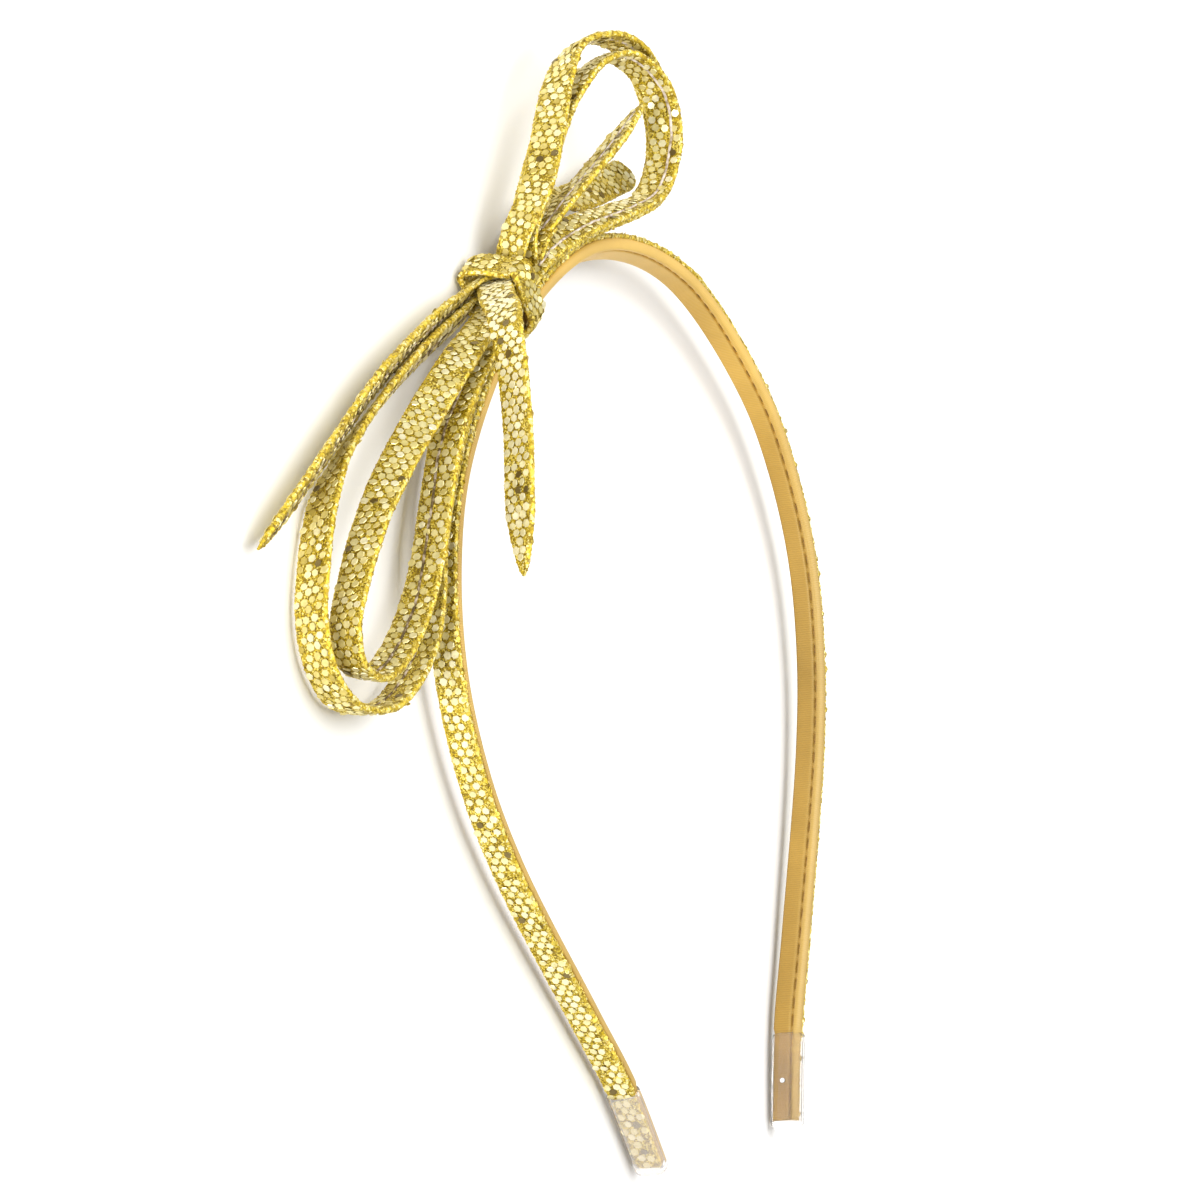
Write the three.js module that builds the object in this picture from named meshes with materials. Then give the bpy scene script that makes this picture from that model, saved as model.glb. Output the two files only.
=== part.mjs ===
// A thin headband: a satin-covered hoop with a strip of gold glitter cloth along its outside, clear
// caps on its two tips and a bow of flat folded glitter strips tied round its left shoulder.
// It lies on its side as it would on a table. Millimetres, +Z up: the arms run towards -Y, the bow
// is on the -X side, and the knot lifts its shoulder a little above the level of the tips.

import * as THREE from 'three';

// Hoop: satin cover inside, glitter strip outside, measured along Z and along the hoop's normal
const BAND_WIDTH = 4.4;
const SATIN_INNER = -1.35;
const SATIN_OUTER = 0.05;
const GLITTER_INNER = 0.35;
const GLITTER_OUTER = 1.45;
const BAND_CORNER = 0.45;
const SEAM_ACROSS = 0.5;
const SEAM_HALF = 0.35;
const SEAM_DEPTH = 0.3;
const BAND_STEPS = 70;

// Clear caps: soft sleeves that squeeze the cloth on the last stretch of each arm
const CAP_LENGTH = 14.5;
const CAP_WALL = 0.4;
const CAP_CLEARANCE = 0.15;
const CAP_SQUEEZE = 0.2;
const CAP_FLOOR = 1.2;
const CAP_ROUNDING = 0.8;
const CAP_BEVEL_SHARE = 0.3;
const CAP_STEPS = 6;
const MOUTH_GAP = 0.3;
const MOUTH_FLARE = 1;

// Bow: a doubled strip with folded edges, pressed thinner and narrower where the knot holds it
const STRIP_WIDTH = 5.2;
const STRIP_THICK = 1.15;
const STRIP_FOLD = 0.4;
const KNOT_WIDTH = 4.4;
const KNOT_THICK = 0.8;
const KNOT_RUN = 9;
const POINT_WIDTH = 1;
const POINT_RUN = 9;
const ROUND_RUN = 2.6;
const STEPS_PER_ROW = 4;
const END_STEPS = [0.2, 0.1, 0.03];
const LENGTH_SAMPLES = 600;

// Knot: where it sits on the hoop, as a share of the hoop's length, and its wrapping strip
const KNOT_SHARE = 0.417;
const WRAP_WIDTH = 5.2;
const WRAP_THICK = 1.1;

// Lying on a flat surface, the hoop is tilted by the knot under its shoulder
const REST_TILT = THREE.MathUtils.degToRad(1.4);

// Middle line of the hoop in its own plane, from the left tip over the apex to the right tip
const HOOP_LINE = [
  { x: -10.3, y: -134.6 },
  { x: -18.4, y: -121.6 },
  { x: -28.5, y: -110.1 },
  { x: -48.5, y: -87.0 },
  { x: -56.1, y: -73.7 },
  { x: -59.8, y: -58.9 },
  { x: -58.1, y: -43.8 },
  { x: -51.5, y: -30.1 },
  { x: -28.7, y: -9.9 },
  { x: 0.0, y: 0.0 },
  { x: 30.1, y: -3.8 },
  { x: 54.9, y: -21.3 },
  { x: 63.5, y: -33.9 },
  { x: 68.0, y: -48.5 },
  { x: 67.5, y: -63.7 },
  { x: 63.4, y: -78.4 },
  { x: 50.6, y: -106.2 },
  { x: 44.0, y: -120.0 },
  { x: 39.4, y: -134.6 },
];

// Middle lines of the bow's strips. The lean turns a strip about its run, in degrees, from upright.
const UPPER_LOOP_BACK = [
  { x: -27.1, y: -2.9, z: -0.9, lean: 0 },
  { x: -26.7, y: 1.7, z: 1.0, lean: 0 },
  { x: -21.2, y: 8.2, z: 2.3, lean: -4 },
  { x: -12.8, y: 19.0, z: 1.8, lean: -4 },
  { x: -8.5, y: 23.7, z: 1.3, lean: 6 },
  { x: -2.6, y: 28.7, z: 1.5, lean: 22 },
  { x: 6.0, y: 30.7, z: 3.0, lean: 6 },
  { x: 11.9, y: 28.6, z: 4.5, lean: 4 },
  { x: 15.8, y: 22.9, z: 5.4, lean: 10 },
  { x: 17.0, y: 17.0, z: 5.8, lean: 14 },
  { x: 15.5, y: 11.2, z: 5.5, lean: 10 },
  { x: 11.5, y: 6.8, z: 4.7, lean: 10 },
  { x: 3.0, y: 4.3, z: 3.5, lean: 18 },
  { x: -8.0, y: 2.3, z: 2.0, lean: 32 },
  { x: -19.5, y: -1.9, z: 0.6, lean: 30 },
];
const UPPER_LOOP_FRONT = [
  { x: -24.9, y: -3.0, z: 0.8, lean: 0 },
  { x: -24.4, y: 1.0, z: 0.7, lean: 0 },
  { x: -19.9, y: 7.0, z: 0.7, lean: -5 },
  { x: -11.4, y: 17.6, z: 1.2, lean: -8 },
  { x: -6.7, y: 21.8, z: 1.7, lean: 0 },
  { x: -0.7, y: 25.9, z: 3.3, lean: 14 },
  { x: 6.5, y: 27.8, z: 4.5, lean: 4 },
  { x: 11.0, y: 25.8, z: 6.0, lean: 4 },
  { x: 14.0, y: 21.9, z: 7.0, lean: 10 },
  { x: 14.8, y: 16.5, z: 7.2, lean: 14 },
  { x: 13.0, y: 11.5, z: 7.0, lean: 6 },
  { x: 8.6, y: 7.1, z: 6.6, lean: 5 },
  { x: -0.6, y: 4.7, z: 5.6, lean: 18 },
  { x: -11.7, y: 2.5, z: 4.0, lean: 30 },
  { x: -21.0, y: -0.7, z: 2.6, lean: 35 },
  { x: -25.4, y: -3.4, z: 2.1, lean: 30 },
];
const LOWER_LOOP_BACK = [
  { x: -36.2, y: -12.0, z: 0.2, lean: 0 },
  { x: -44.5, y: -17.8, z: 0.4, lean: 4 },
  { x: -53.2, y: -27.6, z: 0.2, lean: 0 },
  { x: -61.3, y: -41.0, z: 0.0, lean: -3 },
  { x: -63.8, y: -49.3, z: -0.1, lean: -3 },
  { x: -66.8, y: -55.2, z: -0.3, lean: -1 },
  { x: -72.4, y: -60.0, z: -0.5, lean: 0 },
  { x: -79.8, y: -63.0, z: -0.8, lean: 4 },
  { x: -90.2, y: -61.9, z: -1.1, lean: 4 },
  { x: -95.1, y: -56.8, z: -1.4, lean: 8 },
  { x: -95.9, y: -50.4, z: -1.6, lean: 8 },
  { x: -93.6, y: -43.9, z: -1.8, lean: 6 },
  { x: -88.8, y: -35.6, z: -2.1, lean: 10 },
  { x: -81.2, y: -29.1, z: -2.4, lean: 30 },
  { x: -66.8, y: -21.2, z: -2.6, lean: 42 },
  { x: -53.0, y: -15.2, z: -3.0, lean: 46 },
  { x: -36.0, y: -8.9, z: -3.2, lean: 44 },
];
const LOWER_LOOP_FRONT = [
  { x: -35.2, y: -10.2, z: 0.6, lean: 0 },
  { x: -46.7, y: -17.0, z: 2.2, lean: 4 },
  { x: -56.4, y: -25.6, z: 2.0, lean: 2 },
  { x: -61.1, y: -34.4, z: 1.5, lean: 0 },
  { x: -65.7, y: -43.8, z: 1.2, lean: 2 },
  { x: -71.0, y: -50.8, z: 1.0, lean: 7 },
  { x: -78.1, y: -56.2, z: 1.0, lean: 10 },
  { x: -85.2, y: -58.7, z: 1.0, lean: 12 },
  { x: -90.8, y: -56.6, z: 1.0, lean: 12 },
  { x: -91.6, y: -52.2, z: 1.0, lean: 8 },
  { x: -88.6, y: -47.0, z: 1.0, lean: 4 },
  { x: -81.9, y: -38.6, z: 1.2, lean: -5 },
  { x: -74.0, y: -31.6, z: 1.4, lean: -20 },
  { x: -63.6, y: -24.0, z: 1.9, lean: -30 },
  { x: -53.9, y: -17.5, z: 2.3, lean: -24 },
  { x: -42.4, y: -11.6, z: 1.8, lean: -6 },
  { x: -34.8, y: -8.6, z: 0.4, lean: 0 },
];
const UPPER_TAIL_STRAIGHT = [
  { x: -21.9, y: 1.6, z: 2.2, lean: 8 },
  { x: -14.8, y: 6.6, z: 4.0, lean: 16 },
  { x: -4.5, y: 13.1, z: 6.0, lean: 18 },
  { x: 5.8, y: 20.3, z: 8.0, lean: 20 },
];
const UPPER_TAIL_ROUND = [
  { x: -15.5, y: 4.5, z: -1.7, lean: 0 },
  { x: -9.5, y: 6.3, z: -1.7, lean: -20 },
  { x: -0.9, y: 7.4, z: -1.4, lean: -48 },
  { x: 8.0, y: 9.2, z: -1.2, lean: -58 },
  { x: 18.0, y: 11.6, z: -0.8, lean: -60 },
];
const LOWER_TAIL_LEFT = [
  { x: -35.6, y: -6.9, z: -3.3, lean: -44 },
  { x: -50.4, y: -11.4, z: -2.6, lean: -48 },
  { x: -69.0, y: -19.1, z: -2.2, lean: -51 },
  { x: -84.4, y: -27.6, z: -2.1, lean: -52 },
  { x: -97.1, y: -35.1, z: -2.4, lean: -50 },
  { x: -106.8, y: -40.6, z: -2.7, lean: -46 },
];
const LOWER_TAIL_FRONT = [
  { x: -28.0, y: -4.8, z: -1.4, lean: 0 },
  { x: -32.4, y: -5.8, z: -0.5, lean: 0 },
  { x: -36.4, y: -6.9, z: 1.4, lean: 0 },
  { x: -39.8, y: -8.2, z: 3.2, lean: -4 },
  { x: -43.6, y: -9.9, z: 5.7, lean: -6 },
  { x: -47.2, y: -12.6, z: 7.7, lean: -10 },
  { x: -49.8, y: -19.1, z: 9.2, lean: -14 },
  { x: -52.1, y: -27.2, z: 10.2, lean: -16 },
  { x: -55.4, y: -36.9, z: 11.0, lean: -16 },
  { x: -57.6, y: -47.3, z: 11.5, lean: -16 },
];

// Path of the wrap round the hoop at the knot: along the hoop, out from it, and up
const WRAP_PATH = [
  { along: 0.9, out: 7.0, up: 0.5 },
  { along: 0.6, out: 6.5, up: 3.1 },
  { along: -0.6, out: 3.8, up: 3.7 },
  { along: 0.0, out: -1.2, up: 3.3 },
  { along: -0.3, out: -2.9, up: 0.0 },
  { along: -0.2, out: -1.6, up: -3.5 },
  { along: 0.2, out: 3.4, up: -4.2 },
  { along: 0.5, out: 7.7, up: -5.0 },
  { along: 0.8, out: 7.9, up: -2.4 },
];

const UP = new THREE.Vector3(0, 0, 1);
const vector = (row) => new THREE.Vector3(row.x, row.y, row.z ?? 0);
const smoothCurve = (points, closed = false) => (
  new THREE.CatmullRomCurve3(points, closed, 'centripetal')
);

// Axes of a section: across it, and out of its outer face, for a run in the direction along
function sectionAxes(centre, along, upright, lean = 0) {
  const across = upright.clone().addScaledVector(along, -upright.dot(along)).normalize();
  across.applyAxisAngle(along, -lean);
  const out = new THREE.Vector3().crossVectors(across, along).normalize();
  return { centre, across, out };
}

const place = (axes, outline) => outline.map(({ across, out }) => (
  axes.centre.clone().addScaledVector(axes.across, across).addScaledVector(axes.out, out)
));

// A flat section with cut corners, from one face to the other
function flatOutline(width, inner, outer, corner) {
  const half = width / 2;
  return [
    { across: -half, out: inner + corner },
    { across: -half, out: outer - corner },
    { across: -half + corner, out: outer },
    { across: half - corner, out: outer },
    { across: half, out: outer - corner },
    { across: half, out: inner + corner },
    { across: half - corner, out: inner },
    { across: -half + corner, out: inner },
  ];
}

// Closed skin through rings of points: a fan closes each end of an open run
function loft(rings, closed = false) {
  const size = rings[0].length;
  const faces = [];
  const spans = closed ? rings.length : rings.length - 1;
  for (let i = 0; i < spans; i += 1) {
    const here = i * size;
    const next = ((i + 1) % rings.length) * size;
    for (let j = 0; j < size; j += 1) {
      const k = (j + 1) % size;
      faces.push(here + j, here + k, next + k);
      faces.push(here + j, next + k, next + j);
    }
  }
  if (!closed) {
    const last = (rings.length - 1) * size;
    for (let j = 1; j < size - 1; j += 1) {
      faces.push(0, j + 1, j);
      faces.push(last, last + j, last + j + 1);
    }
  }
  const geometry = new THREE.BufferGeometry();
  const positions = rings.flat().flatMap((point) => point.toArray());
  geometry.setAttribute('position', new THREE.Float32BufferAttribute(positions, 3));
  geometry.setIndex(faces);
  geometry.computeVertexNormals();
  return geometry;
}

// The hoop's own frame at a distance from the left tip
const hoopCurve = smoothCurve(HOOP_LINE.map(vector));
hoopCurve.arcLengthDivisions = 1000;
const hoopLength = hoopCurve.getLength();

function hoopAxes(distance) {
  const share = distance / hoopLength;
  return sectionAxes(hoopCurve.getPointAt(share), hoopCurve.getTangentAt(share), UP);
}

// Distances of the hoop's sections: even steps, with a step in where each cap's mouth is
function bandDistances() {
  const mouth = CAP_LENGTH + MOUTH_GAP;
  const free = mouth + MOUTH_FLARE;
  const span = hoopLength - 2 * free;
  const middle = Array.from({ length: BAND_STEPS + 1 }, (_, i) => free + (span * i) / BAND_STEPS);
  const tip = [CAP_FLOOR, (CAP_FLOOR + mouth) / 2, mouth];
  const farTip = tip.map((distance) => hoopLength - distance).reverse();
  return [...tip, ...middle, ...farTip];
}

const squeezeAt = (distance) => {
  const fromTip = Math.min(distance, hoopLength - distance);
  return fromTip < CAP_LENGTH + MOUTH_GAP + MOUTH_FLARE / 2 ? CAP_SQUEEZE : 0;
};

// Satin cover: its inner face has the sewn groove, nearer to the upper edge
function bandSatin() {
  const rings = bandDistances().map((distance) => {
    const squeeze = squeezeAt(distance);
    const inner = SATIN_INNER + squeeze;
    const outline = flatOutline(BAND_WIDTH - 2 * squeeze, inner, SATIN_OUTER, BAND_CORNER);
    const face = outline.splice(6, 2);
    const groove = [
      { across: SEAM_ACROSS, out: inner + SEAM_DEPTH },
      { across: SEAM_ACROSS - SEAM_HALF, out: inner },
    ];
    const lip = { across: SEAM_ACROSS + SEAM_HALF, out: inner };
    return place(hoopAxes(distance), [...groove, face[1], ...outline, face[0], lip]);
  });
  return loft(rings);
}

function bandGlitter() {
  const rings = bandDistances().map((distance) => {
    const squeeze = squeezeAt(distance);
    const width = BAND_WIDTH - 2 * squeeze;
    const outline = flatOutline(width, GLITTER_INNER, GLITTER_OUTER - squeeze, BAND_CORNER);
    return place(hoopAxes(distance), outline);
  });
  return loft(rings);
}

// A cap is one skin: from the floor of its pocket out to the mouth, and back over the outside
function tipCap(atLeft) {
  const ring = (fromTip, spread) => {
    const distance = atLeft ? fromTip : hoopLength - fromTip;
    const grow = spread - CAP_SQUEEZE;
    const corner = BAND_CORNER + spread / 2;
    const width = BAND_WIDTH + 2 * grow;
    const outline = flatOutline(width, SATIN_INNER - grow, GLITTER_OUTER + grow, corner);
    const points = place(hoopAxes(distance), outline);
    return atLeft ? points.reverse() : points;
  };
  const outside = CAP_CLEARANCE + CAP_WALL;
  const pocketFloor = CAP_FLOOR - CAP_CLEARANCE;
  const rings = [];
  for (let i = 0; i <= CAP_STEPS; i += 1) {
    rings.push(ring(pocketFloor + ((CAP_LENGTH - pocketFloor) * i) / CAP_STEPS, CAP_CLEARANCE));
  }
  for (let i = CAP_STEPS; i >= 0; i -= 1) {
    rings.push(ring(CAP_ROUNDING + ((CAP_LENGTH - CAP_ROUNDING) * i) / CAP_STEPS, outside));
  }
  const bevel = CAP_ROUNDING * CAP_BEVEL_SHARE;
  rings.push(ring(bevel, outside - bevel));
  rings.push(ring(0, outside - CAP_ROUNDING));
  return loft(rings);
}

// How wide and thick a strip is, by its distance from its two ends
const ease = (value) => THREE.MathUtils.smoothstep(value, 0, 1);
const between = (low, high, share) => THREE.MathUtils.lerp(low, high, share);

const STRIP_ENDS = {
  knot: (distance) => ({
    width: between(KNOT_WIDTH, STRIP_WIDTH, ease(distance / KNOT_RUN)),
    thick: between(KNOT_THICK, STRIP_THICK, ease(distance / KNOT_RUN)),
  }),
  point: (distance) => ({
    width: between(POINT_WIDTH, STRIP_WIDTH, Math.sqrt(Math.min(distance / POINT_RUN, 1))),
    thick: STRIP_THICK,
  }),
  round: (distance) => {
    const short = 1 - Math.min(distance / ROUND_RUN, 1);
    return { width: between(POINT_WIDTH, STRIP_WIDTH, Math.sqrt(1 - short ** 2)), thick: STRIP_THICK };
  },
};

// A strip runs from the knot along its rows, and ends at the knot again, in a point or round
function bowStrip(rows, ending) {
  const curve = smoothCurve(rows.map(vector));
  const spans = rows.length - 1;
  const places = Array.from({ length: spans * STEPS_PER_ROW + 1 }, (_, i) => i / STEPS_PER_ROW);
  if (ending !== 'knot') {
    places.splice(-1, 0, ...END_STEPS.map((step) => spans - step));
  }
  const lengths = curve.getLengths(LENGTH_SAMPLES);
  const total = lengths.at(-1);
  const rings = places.map((at) => {
    const share = at / spans;
    const distance = lengths[Math.round(share * LENGTH_SAMPLES)];
    const row = Math.min(Math.floor(at), spans - 1);
    const turn = between(rows[row].lean, rows[row + 1].lean, ease(at - row));
    const lean = THREE.MathUtils.degToRad(turn);
    const start = STRIP_ENDS.knot(distance);
    const end = STRIP_ENDS[ending](total - distance);
    const thick = Math.min(start.thick, end.thick);
    const axes = sectionAxes(curve.getPoint(share), curve.getTangent(share), UP, lean);
    const width = Math.min(start.width, end.width);
    return place(axes, flatOutline(width, -thick / 2, thick / 2, STRIP_FOLD * thick));
  });
  return loft(rings);
}

// The wrap is a closed strip round the hoop and the gathered ends
function knotWrap() {
  const knot = hoopAxes(hoopLength * KNOT_SHARE);
  const along = hoopCurve.getTangentAt(KNOT_SHARE);
  const points = WRAP_PATH.map((row) => knot.centre.clone()
    .addScaledVector(along, row.along)
    .addScaledVector(knot.out, row.out)
    .addScaledVector(UP, row.up));
  const curve = smoothCurve(points, true);
  const steps = WRAP_PATH.length * STEPS_PER_ROW;
  const outline = flatOutline(WRAP_WIDTH, -WRAP_THICK / 2, WRAP_THICK / 2, STRIP_FOLD * WRAP_THICK);
  const rings = Array.from({ length: steps }, (_, i) => {
    const axes = sectionAxes(curve.getPoint(i / steps), curve.getTangent(i / steps), along);
    return place(axes, outline);
  });
  return loft(rings, true);
}

const SATIN = { color: 0xe4b860, roughness: 0.45, metalness: 0 };
const GLITTER = { color: 0xd8c070, roughness: 0.35, metalness: 0.6 };
const CLEAR = { color: 0xf4f2ee, roughness: 0.15, metalness: 0 };

const PIECES = [
  { name: 'band_satin', geometry: bandSatin(), look: SATIN },
  { name: 'band_glitter', geometry: bandGlitter(), look: GLITTER },
  { name: 'tip_cap_left', geometry: tipCap(true), look: CLEAR },
  { name: 'tip_cap_right', geometry: tipCap(false), look: CLEAR },
  { name: 'upper_loop_back', geometry: bowStrip(UPPER_LOOP_BACK, 'knot'), look: GLITTER },
  { name: 'upper_loop_front', geometry: bowStrip(UPPER_LOOP_FRONT, 'knot'), look: GLITTER },
  { name: 'lower_loop_back', geometry: bowStrip(LOWER_LOOP_BACK, 'knot'), look: GLITTER },
  { name: 'lower_loop_front', geometry: bowStrip(LOWER_LOOP_FRONT, 'knot'), look: GLITTER },
  { name: 'upper_tail_straight', geometry: bowStrip(UPPER_TAIL_STRAIGHT, 'point'), look: GLITTER },
  { name: 'upper_tail_round', geometry: bowStrip(UPPER_TAIL_ROUND, 'round'), look: GLITTER },
  { name: 'lower_tail_left', geometry: bowStrip(LOWER_TAIL_LEFT, 'point'), look: GLITTER },
  { name: 'lower_tail_front', geometry: bowStrip(LOWER_TAIL_FRONT, 'point'), look: GLITTER },
  { name: 'knot_wrap', geometry: knotWrap(), look: GLITTER },
];

const tilted = new THREE.Group();
tilted.rotation.x = REST_TILT;
for (const piece of PIECES) {
  const mesh = new THREE.Mesh(piece.geometry, new THREE.MeshStandardMaterial(piece.look));
  mesh.name = piece.name;
  tilted.add(mesh);
}

// The origin is the middle of the bounding box's bottom
const headband = new THREE.Group();
headband.add(tilted);
headband.updateMatrixWorld(true);
const box = new THREE.Box3().setFromObject(headband, true);
const middle = box.getCenter(new THREE.Vector3());
headband.position.set(-middle.x, -middle.y, -box.min.z);

export default headband;
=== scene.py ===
"""Looks of the bow headband: a satin-lined hoop with a glitter strip outside, and a glitter bow."""

import math

import bmesh
import bpy
import numpy as np
from mathutils import Matrix, Vector


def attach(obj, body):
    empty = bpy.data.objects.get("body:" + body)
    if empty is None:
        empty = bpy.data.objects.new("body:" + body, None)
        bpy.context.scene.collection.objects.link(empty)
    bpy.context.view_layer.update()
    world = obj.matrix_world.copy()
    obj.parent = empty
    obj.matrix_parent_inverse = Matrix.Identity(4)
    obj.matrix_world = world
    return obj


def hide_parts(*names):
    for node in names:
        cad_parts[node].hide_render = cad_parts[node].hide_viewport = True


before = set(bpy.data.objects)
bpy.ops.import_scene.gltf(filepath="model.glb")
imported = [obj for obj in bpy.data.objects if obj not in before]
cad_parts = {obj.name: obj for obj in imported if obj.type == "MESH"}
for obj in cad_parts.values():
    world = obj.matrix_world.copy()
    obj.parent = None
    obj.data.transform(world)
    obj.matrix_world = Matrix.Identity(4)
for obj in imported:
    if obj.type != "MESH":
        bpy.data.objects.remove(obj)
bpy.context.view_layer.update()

# How the headband lies
# It lies on its side. The knot under one shoulder tilts the hoop a little, so the hoop's own plane,
# in which all lines below are given in millimetres, is turned and moved onto the surface.
MM = 0.001
REST_TILT = math.radians(1.4)
REST_PLACE = np.array([18.628, 51.917, 5.835])
LYING = np.array(Matrix.Rotation(REST_TILT, 3, "X"))


def turned(vectors):
    """Directions of the hoop's plane, as the headband lies."""
    return np.asarray(vectors, float) @ LYING.T


def laid(points):
    """Points of the hoop's plane in the scene, in metres."""
    return (turned(points) + REST_PLACE) * MM


# Camera, surface and light
# A long lens looks at the hoop from the bow's side. The surface is a pale sheet, lit by a small soft
# window low on the camera's side and a large one above. The windows' places and sizes are in metres.
CAMERA_AIM = (-9.0, -51.53, 0.0)
CAMERA_TOWARDS = (-0.907269, -0.000848, 0.420550)
CAMERA_UP = (0.041009, 0.995054, 0.090477)
CAMERA_DISTANCE = 850.0
CAMERA_LENS = 175.95
CAMERA_NEAREST = 10.0
ROOM_TINT = (1.0, 0.985, 0.955, 1.0)
ROOM_LIGHT = 0.38
SHEET_REACH = 4000.0
SHEET_DROP = 0.3
SHEET_WHITE = (0.97, 0.97, 0.97, 1)

towards = Vector(turned(CAMERA_TOWARDS)).normalized()
upward = Vector(turned(CAMERA_UP)).normalized()
sideways = upward.cross(towards).normalized()
upward = towards.cross(sideways)
aim = Vector(laid(CAMERA_AIM))

camera = bpy.data.objects.new("camera", bpy.data.cameras.new("camera"))
camera.data.lens = CAMERA_LENS
camera.data.clip_start = CAMERA_NEAREST * MM
turn = Matrix((sideways, upward, towards)).transposed()
camera.matrix_world = Matrix.Translation(aim + towards * CAMERA_DISTANCE * MM) @ turn.to_4x4()
bpy.context.scene.collection.objects.link(camera)
bpy.context.scene.camera = camera


def soft_window(name, place, size, watts, tint):
    """A round area light that faces the headband."""
    light = bpy.data.objects.new(name, bpy.data.lights.new(name, "AREA"))
    light.data.shape = "DISK"
    light.data.size = size
    light.data.energy = watts
    light.data.color = tint
    light.location = place
    light.rotation_euler = (aim - Vector(place)).to_track_quat("-Z", "Y").to_euler()
    bpy.context.scene.collection.objects.link(light)


soft_window("window_near", place=(-1.25, -0.15, 0.1), size=0.4, watts=14.5, tint=(1.0, 1.0, 0.98))
soft_window("window_above", place=(0.05, 0.35, 1.3), size=1.9, watts=27.0, tint=(1.0, 1.0, 1.0))

world = bpy.data.worlds.new("room")
world.use_nodes = True
world.node_tree.nodes["Background"].inputs["Color"].default_value = ROOM_TINT
world.node_tree.nodes["Background"].inputs["Strength"].default_value = ROOM_LIGHT
bpy.context.scene.world = world
bpy.context.scene.view_settings.view_transform = "Standard"

floor_shape = bmesh.new()
bmesh.ops.create_grid(floor_shape, x_segments=1, y_segments=1, size=SHEET_REACH * MM)
bmesh.ops.translate(floor_shape, verts=floor_shape.verts, vec=(0, 0, -SHEET_DROP * MM))
floor_mesh = bpy.data.meshes.new("surface")
floor_shape.to_mesh(floor_mesh)
floor_shape.free()
floor = bpy.data.objects.new("surface", floor_mesh)
bpy.context.scene.collection.objects.link(floor)
pale = bpy.data.materials.new("pale surface")
pale.use_nodes = True
sheet_shader = pale.node_tree.nodes["Principled BSDF"]
sheet_shader.inputs["Roughness"].default_value = 0.9
sheet_shader.inputs["Specular IOR Level"].default_value = 0.1
sheet_shader.inputs["Base Color"].default_value = SHEET_WHITE
floor_mesh.materials.append(pale)

# Satin cover of the hoop
# Golden ribbed satin is folded round the springy core: a flat face inside, a sewn groove, and a
# rounded roll along the upper edge. Its colour carries painted light: a painted highlight along the
# roll and beside the groove, paler over the crown and darker down the arms, and painted shade on its
# lower inner edge and on the outer side, which the glitter strip covers.
HOOP_LINE = [
    (-10.3, -134.6), (-18.4, -121.6), (-28.5, -110.1), (-48.5, -87.0), (-56.1, -73.7),
    (-59.8, -58.9), (-58.1, -43.8), (-51.5, -30.1), (-28.7, -9.9), (0.0, 0.0),
    (30.1, -3.8), (54.9, -21.3), (63.5, -33.9), (68.0, -48.5), (67.5, -63.7),
    (63.4, -78.4), (50.6, -106.2), (44.0, -120.0), (39.4, -134.6),
]
HOOP_TWIST = {9: 24.0, 10: 9.0, 11: 3.0}
SATIN_OUTLINE = [
    (-2.2, -0.85), (-2.08, -1.22), (-1.75, -1.36), (-0.9, -1.38), (-0.1, -1.4), (0.65, -1.42),
    (1.0, -1.34), (1.22, -1.46), (1.45, -1.6), (1.78, -1.52), (2.06, -1.2), (2.22, -0.75),
    (2.22, -0.25), (2.05, 0.08), (0.7, 0.1), (-0.7, 0.1), (-2.05, 0.08), (-2.2, -0.25),
]
SATIN_HALF_WIDTH = 2.2
SATIN_INNER_SIDE = -0.6
SATIN_ROUNDS = 72
SATIN_STEP = 0.45
SATIN_RIB = 0.36
WAVE_RATE = 3.2
RIB_CONTRAST = 0.6
TURN_IN_MAP = 12.0
WELD_GAP = 0.002
SLIT_ACROSS = 1.0
SLIT_WIDTH = 0.15
SLIT_DEPTH = 0.46
STITCH_START = 2.7
STITCH_PITCH = 2.9
PULL_FROM = -0.8
PULL_EASE = 0.6
LEAST_PULL = 0.12
TIP_LENGTH = 14.5
TIP_FLOOR = 1.2
TIP_SQUEEZE = 0.2
TIP_EASE = 1.0
# Painted shade: the cover is darkened at its lower inner edge and on its outer side under the glitter
# strip.
PAINTED_EDGE_SHADE = [
    (0.0, (0.55, 0.48, 0.4)), (0.05, (0.62, 0.56, 0.48)), (0.1, (1.0, 1.0, 1.0)),
    (0.725, (1.0, 1.0, 1.0)), (0.755, (0.4, 0.33, 0.25)), (1.0, (0.4, 0.33, 0.25)),
]
# Painted light along the length: palest over the crown, darker down both arms.
PAINTED_CROWN_LIGHT = [
    (0.0, (0.62, 0.61, 0.575)), (0.4, (0.75, 0.74, 0.71)), (0.48, (1.0, 1.0, 1.0)),
    (0.64, (0.96, 0.95, 0.94)), (0.7, (0.7, 0.68, 0.65)), (0.8, (0.5, 0.485, 0.455)),
    (0.88, (0.55, 0.53, 0.49)), (1.0, (0.53, 0.505, 0.465)),
]
# Painted highlight: a pale tint laid along the roll and on a line just beside the groove.
PAINTED_ROLL_HIGHLIGHT = [
    (0.25, 0.0), (0.29, 0.13), (0.333, 0.0), (0.37, 0.06), (0.45, 0.12), (0.52, 0.22),
    (0.64, 0.22), (0.7, 0.06),
]
PAINTED_HIGHLIGHT_TINT = (0.9, 0.71, 0.31, 1.0)


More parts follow.
